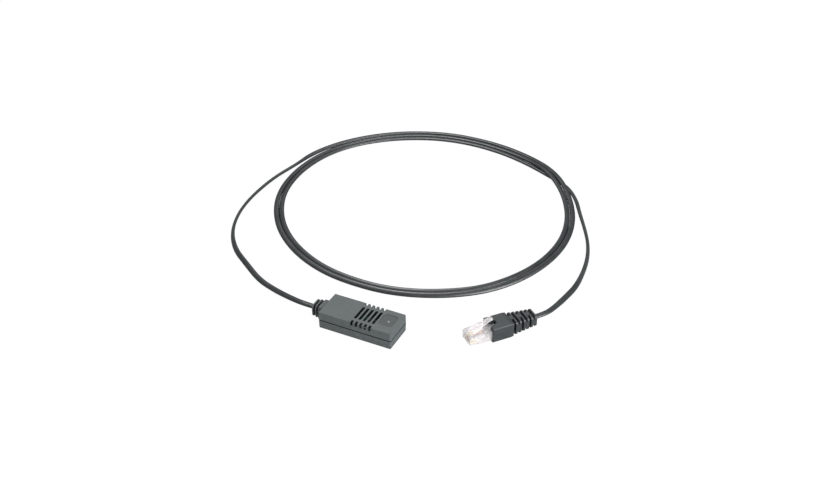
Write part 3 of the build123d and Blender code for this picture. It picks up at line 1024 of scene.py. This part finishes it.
    def outline(self) -> list[Place]:
        """The flat oval section, a little fuller than an ellipse.

        Returns:
            Its points in metres, anticlockwise.
        """
        points = []
        for step in range(self.section_steps):
            angle = math.tau * step / self.section_steps
            across = math.copysign(abs(math.cos(angle)) ** self.fullness, math.cos(angle))
            upward = math.copysign(abs(math.sin(angle)) ** self.fullness, math.sin(angle))
            points.append((across * self.width / 2 * MM, upward * self.thickness / 2 * MM))
        return points

    def build(self, material: bpy.types.Material) -> tuple[bpy.types.Object, list[Vector]]:
        """Build the jacket as one closed tube along the line.

        Args:
            material: The jacket's finish.

        Returns:
            The piece and its centre line.
        """
        route = self.route()
        line = self.centre_line(route)
        leans = self.leans(route, len(line))
        section = self.outline()
        shape = bmesh.new()
        jacket = shape.loops.layers.uv.new("jacket")
        rings = []
        travel = [0.0]
        for before, after in zip(line, line[1:]):
            travel.append(travel[-1] + (after - before).length)
        for index, centre in enumerate(line):
            before = line[max(0, index - 1)]
            after = line[min(len(line) - 1, index + 1)]
            ahead = (after - before).normalized()
            across = Vector((0.0, 0.0, 1.0)).cross(ahead).normalized()
            upward = ahead.cross(across)
            wide = across * math.cos(leans[index]) + upward * math.sin(leans[index])
            thin = ahead.cross(wide)
            rings.append([shape.verts.new(centre + wide * u + thin * v) for u, v in section])
        around = len(section)
        for index in range(len(rings) - 1):
            for side in range(around):
                turn = (side + 1) % around
                here, there = rings[index], rings[index + 1]
                face = shape.faces.new((here[side], here[turn], there[turn], there[side]))
                spots = ((side, index), (side + 1, index), (side + 1, index + 1), (side, index + 1))
                for loop, (u, v) in zip(face.loops, spots):
                    loop[jacket].uv = (u / around, travel[v])
        shape.faces.new(list(reversed(rings[0])))
        shape.faces.new(rings[-1])
        bmesh.ops.recalc_face_normals(shape, faces=shape.faces)
        log.info("cable length %.3f m over %d points", travel[-1], len(line))
        return mesh_piece("flat_cable", shape, material), line


# Small fittings


@dataclass(frozen=True)
class BoardFittings:
    """Solder joints under the header and metal caps on the small chip parts, in millimetres."""

    header_x: float = -13.0
    header_pitch: float = 2.0
    pins: int = 4
    board_bottom: float = 3.6
    joint_radius: float = 0.62
    joint_neck: float = 0.34
    joint_height: float = 0.75
    joint_sides: int = 20
    cap_length: float = 0.3
    cap_proud: float = 0.02

    def solder_joints(self, material: bpy.types.Material) -> bpy.types.Object:
        """Cones of solder on a line of pins, made by a node tree.

        Args:
            material: The solder's finish.

        Returns:
            The baked joints.
        """
        tree = GeometryTree("solder_joint_row")
        count = tree.size("Pins", self.pins, "NodeSocketInt")
        pitch = tree.size("Pitch", self.header_pitch * MM)
        foot = tree.size("Foot Radius", self.joint_radius * MM)
        neck = tree.size("Neck Radius", self.joint_neck * MM)
        height = tree.size("Height", self.joint_height * MM)
        step = tree.add("ShaderNodeCombineXYZ", {}, {"Y": pitch})
        first = (
            self.header_x * MM,
            -self.header_pitch * MM * (self.pins - 1) / 2,
            (self.board_bottom - self.joint_height) * MM,
        )
        line = tree.add(
            "GeometryNodeMeshLine",
            {"mode": "OFFSET"},
            {"Count": count, "Offset": step, "Start Location": first},
        )
        cone = tree.add(
            "GeometryNodeMeshCone",
            {},
            {"Vertices": self.joint_sides, "Radius Top": foot, "Radius Bottom": neck, "Depth": height},
        )
        joints = tree.add("GeometryNodeInstanceOnPoints", {}, {"Points": line, "Instance": cone})
        return tree.bake(point_host("solder_joints", [(0.0, 0.0, 0.0)]), joints, material)

    def end_caps(self, node: str, places: tuple[Place, ...], size: Point,
                 material: bpy.types.Material) -> bpy.types.Object:
        """Metal caps on both ends of each small chip part, made by a node tree.

        Args:
            node: The CAD node whose parts get the caps.
            places: Middles of the parts in millimetres.
            size: Their length, width and height.
            material: The caps' finish.

        Returns:
            The baked caps.
        """
        low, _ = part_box(node)
        proud = self.cap_proud
        spots = [
            ((x + side * (size[0] - self.cap_length) / 2) * MM, y * MM, low.z + size[2] * MM / 2)
            for x, y in places
            for side in (-1, 1)
        ]
        tree = GeometryTree(f"{node}_end_caps")
        box_size = tree.size(
            "Cap Size",
            ((self.cap_length + proud) * MM, (size[1] + 2 * proud) * MM, (size[2] + 2 * proud) * MM),
            "NodeSocketVector",
        )
        cap = tree.add("GeometryNodeMeshCube", {}, {"Size": box_size})
        caps = tree.add(
            "GeometryNodeInstanceOnPoints", {}, {"Points": tree.start.outputs[0], "Instance": cap}
        )
        log.info("%d caps on %s", len(spots), node)
        return tree.bake(point_host(f"{node}_end_caps", spots), caps, material)


# The studio


@dataclass(frozen=True)
class Studio:
    """Camera at the photograph's angle, white paper, and plain soft light."""

    lens: float = 52.68
    sensor_width: float = 36.0
    seen_from: float = 0.01
    seen_to: float = 20.0
    camera_at: Point = (0.3018, -0.5444, 0.4892)
    looks_at: Point = (-0.0179, 0.1073, 0.0)
    sky_tint: Colour = (0.985, 0.992, 1.0)
    sky: float = 1.15
    mirrored_sky: float = 0.32
    key_at: Point = (-0.36, 0.58, 1.22)
    key_towards: Point = (0.0, 0.1, 0.0)
    key_size: float = 0.46
    key_power: float = 7.6
    end_at: Point = (1.15, -0.3, 0.55)
    end_towards: Point = (0.0, 0.0, 0.0)
    end_size: float = 1.0
    end_power: float = 26.0
    paper_half: float = 6.0

    def camera(self) -> None:
        """Place the camera."""
        data = bpy.data.cameras.new("photograph_camera")
        data.lens = self.lens
        data.sensor_width = self.sensor_width
        data.clip_start = self.seen_from
        data.clip_end = self.seen_to
        holder = bpy.data.objects.new("photograph_camera", data)
        holder.location = self.camera_at
        aim = Vector(self.looks_at) - Vector(self.camera_at)
        holder.rotation_mode = "QUATERNION"
        holder.rotation_quaternion = aim.to_track_quat("-Z", "Y")
        bpy.context.scene.collection.objects.link(holder)
        bpy.context.scene.camera = holder

    def softbox(self, name: str, at: Point, towards: Point, size: float, power: float) -> None:
        """Add one soft lamp.

        Args:
            name: The lamp's name.
            at: Where it hangs, in metres.
            towards: What it points at.
            size: Its side.
            power: Its power in watts.
        """
        data = bpy.data.lights.new(name, "AREA")
        data.shape = "SQUARE"
        data.size = size
        data.energy = power
        lamp = bpy.data.objects.new(name, data)
        lamp.location = at
        lamp.rotation_mode = "QUATERNION"
        lamp.rotation_quaternion = (Vector(towards) - Vector(at)).to_track_quat("-Z", "Y")
        bpy.context.scene.collection.objects.link(lamp)

    def world(self) -> None:
        """Give the sky: white where it is seen, greyer in reflections, plain grey as light."""
        sh = Shader(bpy.data.worlds.new("studio_sky"), "ShaderNodeOutputWorld")
        seen = sh.ray("Is Camera Ray").greatest(sh.ray("Is Transmission Ray"))
        lit, mirrored, white = (
            sh.add("ShaderNodeBackground", {}, {"Color": (*colour, 1.0), "Strength": strength})
            for colour, strength in (
                (self.sky_tint, self.sky), (self.sky_tint, self.mirrored_sky), ((1.0, 1.0, 1.0), 1.0),
            )
        )
        inner = sh.either(sh.ray("Is Glossy Ray"), lit, mirrored)
        bpy.context.scene.world = sh.finish(sh.either(seen, inner, white))

    def floor(self) -> None:
        """Lay the paper under the object."""
        shape = bmesh.new()
        bmesh.ops.create_grid(shape, x_segments=1, y_segments=1, size=self.paper_half)
        paper = mesh_piece("studio_floor", shape, StudioPaper().material())

    def build(self) -> None:
        """Set up the light and the floor."""
        self.world()
        self.floor()
        self.softbox("overhead_softbox", self.key_at, self.key_towards, self.key_size, self.key_power)
        self.softbox("end_softbox", self.end_at, self.end_towards, self.end_size, self.end_power)
        bpy.context.scene.view_settings.view_transform = "Standard"


# The sub-assemblies


@dataclass(frozen=True)
class Pod:
    """The pod: its shells, strain relief, light pipe, screws and what stands on its board."""

    resistor_places: tuple[Place, ...] = ((-4.5, -2.0), (-4.5, -4.4), (11.5, -4.6), (14.6, 2.6))
    resistor_size: Point = (1.6, 0.8, 0.5)
    capacitor_places: tuple[Place, ...] = ((5.0, 4.6), (5.0, -4.6), (11.5, 5.0))
    capacitor_size: Point = (1.6, 0.8, 0.8)
    # gaps beside the strain relief's ribs, which get painted shade
    collar_gaps: tuple[tuple[Span, ...], ...] = (
        (("Z", 0.006, 0.006, 0.0002), ("X", -0.03355, 0.0007, 0.00008)),
        (("Z", 0.008, 0.004, 0.0002), ("X", -0.03095, 0.0007, 0.00008)),
    )

    def build(self, frame: dict[str, Any], jacket: bpy.types.Material) -> list[bpy.types.Object]:
        """Dress the pod's nodes and add the fittings.

        Args:
            jacket: The cable's finish.

        Returns:
            The new pieces.
        """
        collar = FlexiblePvc(
            "strain_relief_pvc", (0.043, 0.05, 0.051), (0.063, 0.072, 0.073), gaps=self.collar_gaps
        )
        dress(frame, "sensor_boot", collar.material())
        dress(frame, "cord_end_in_sensor", jacket)
        shell = SparkedPlastic().material()
        dress(frame, "upper_shell", shell)
        dress(frame, "lower_shell", shell)
        steel = PlatedMetal("zinc_plated_steel", (0.42, 0.42, 0.44), (0.6, 0.6, 0.62), 0.32).material()
        dress(frame, "shell_screws", steel)
        pipe = ClearResin(
            "light_pipe_acrylic", colour=(0.56, 0.57, 0.59), roughness=0.16, ior=1.49, clearness=0.7
        )
        dress(frame, "indicator_light_pipe", pipe.material())
        dress(frame, "indicator_led", PlainMoulding("led_resin", (0.8, 0.79, 0.72), 0.3).material())
        dress(frame, "circuit_board", SolderMask().material())
        epoxy = PlainMoulding("chip_epoxy", (0.028, 0.028, 0.03), 0.45).material()
        for node in ("temperature_chip", "memory_chip", "resistors"):
            dress(frame, node, epoxy)
        ceramic = PlainMoulding("capacitor_ceramic", (0.46, 0.31, 0.17), 0.4).material()
        dress(frame, "capacitors", ceramic)
        tin = PlatedMetal("tinned_copper", (0.5, 0.5, 0.5), (0.74, 0.74, 0.73), 0.26).material()
        dress(frame, "chip_leads", tin)
        dress(frame, "header_pins", tin)
        dress(frame, "wire_header", PlainMoulding("header_nylon", (0.72, 0.7, 0.62), 0.42).material())
        for colour in Insulation:
            sheath = PlainMoulding(f"insulation_{colour.name.lower()}", colour.value, 0.36).material()
            dress(frame, f"board_wire_{colour.name.lower()}", sheath)
        fittings = BoardFittings()
        return [
            fittings.solder_joints(tin),
            fittings.end_caps("resistors", self.resistor_places, self.resistor_size, tin),
            fittings.end_caps("capacitors", self.capacitor_places, self.capacitor_size, tin),
        ]


@dataclass(frozen=True)
class PlugEnd:
    """The clear plug, its contacts and conductors, and its boot."""

    contacts: int = 8

    def build(self, frame: dict[str, Any], jacket: bpy.types.Material, pvc: bpy.types.Material) -> list[str]:
        """Dress the plug's nodes.

        Args:
            jacket: The cable's finish.
            pvc: The boot's finish.

        Returns:
            The names of the nodes on the cable's end.
        """
        resin = ClearResin(
            "clear_plug_resin",
            colour=(0.985, 0.96, 0.966),
            roughness=0.21,
            ior=1.1,
            clearness=0.79,
            flow_depth=0.000002,
        )
        dress(frame, "plug_body", resin.material())
        gold = PlatedMetal("gold_plating", (0.78, 0.55, 0.2), (0.95, 0.72, 0.32), 0.22).material()
        names = [f"plug_contact_{index}" for index in range(1, self.contacts + 1)]
        for node in names:
            dress(frame, node, gold)
        for colour in Insulation:
            node = f"plug_wire_{colour.name.lower()}"
            sheath = PlainMoulding(f"conductor_{colour.name.lower()}", colour.value, 0.36).material()
            dress(frame, node, sheath)
            names.append(node)
        dress(frame, "cord_end_in_plug", jacket)
        dress(frame, "plug_boot", pvc)
        return ["plug_body", "plug_boot", "cord_end_in_plug", *names]


def main() -> None:
    """Build the studio, the cable, the pod and the plug."""
    logging.basicConfig(level=logging.INFO, format="%(name)s: %(message)s")
    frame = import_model()
    studio = Studio()
    studio.camera()

    jacket = CableJacket().material()
    cable = FlatCable()
    cord, line = cable.build(jacket)
    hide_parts("cord_sensor_tail", "cord_coil", "cord_plug_tail")
    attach(cord, "root")

    pvc = FlexiblePvc().material()
    on_cord = PlugEnd().build(frame, jacket, pvc)
    length = sum((after - before).length for before, after in zip(line, line[1:]))

    for piece in Pod().build(frame, jacket):
        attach(piece, "root")
        log.info("built %s", piece.name)

    studio.build()


if __name__ == "__main__":
    main()
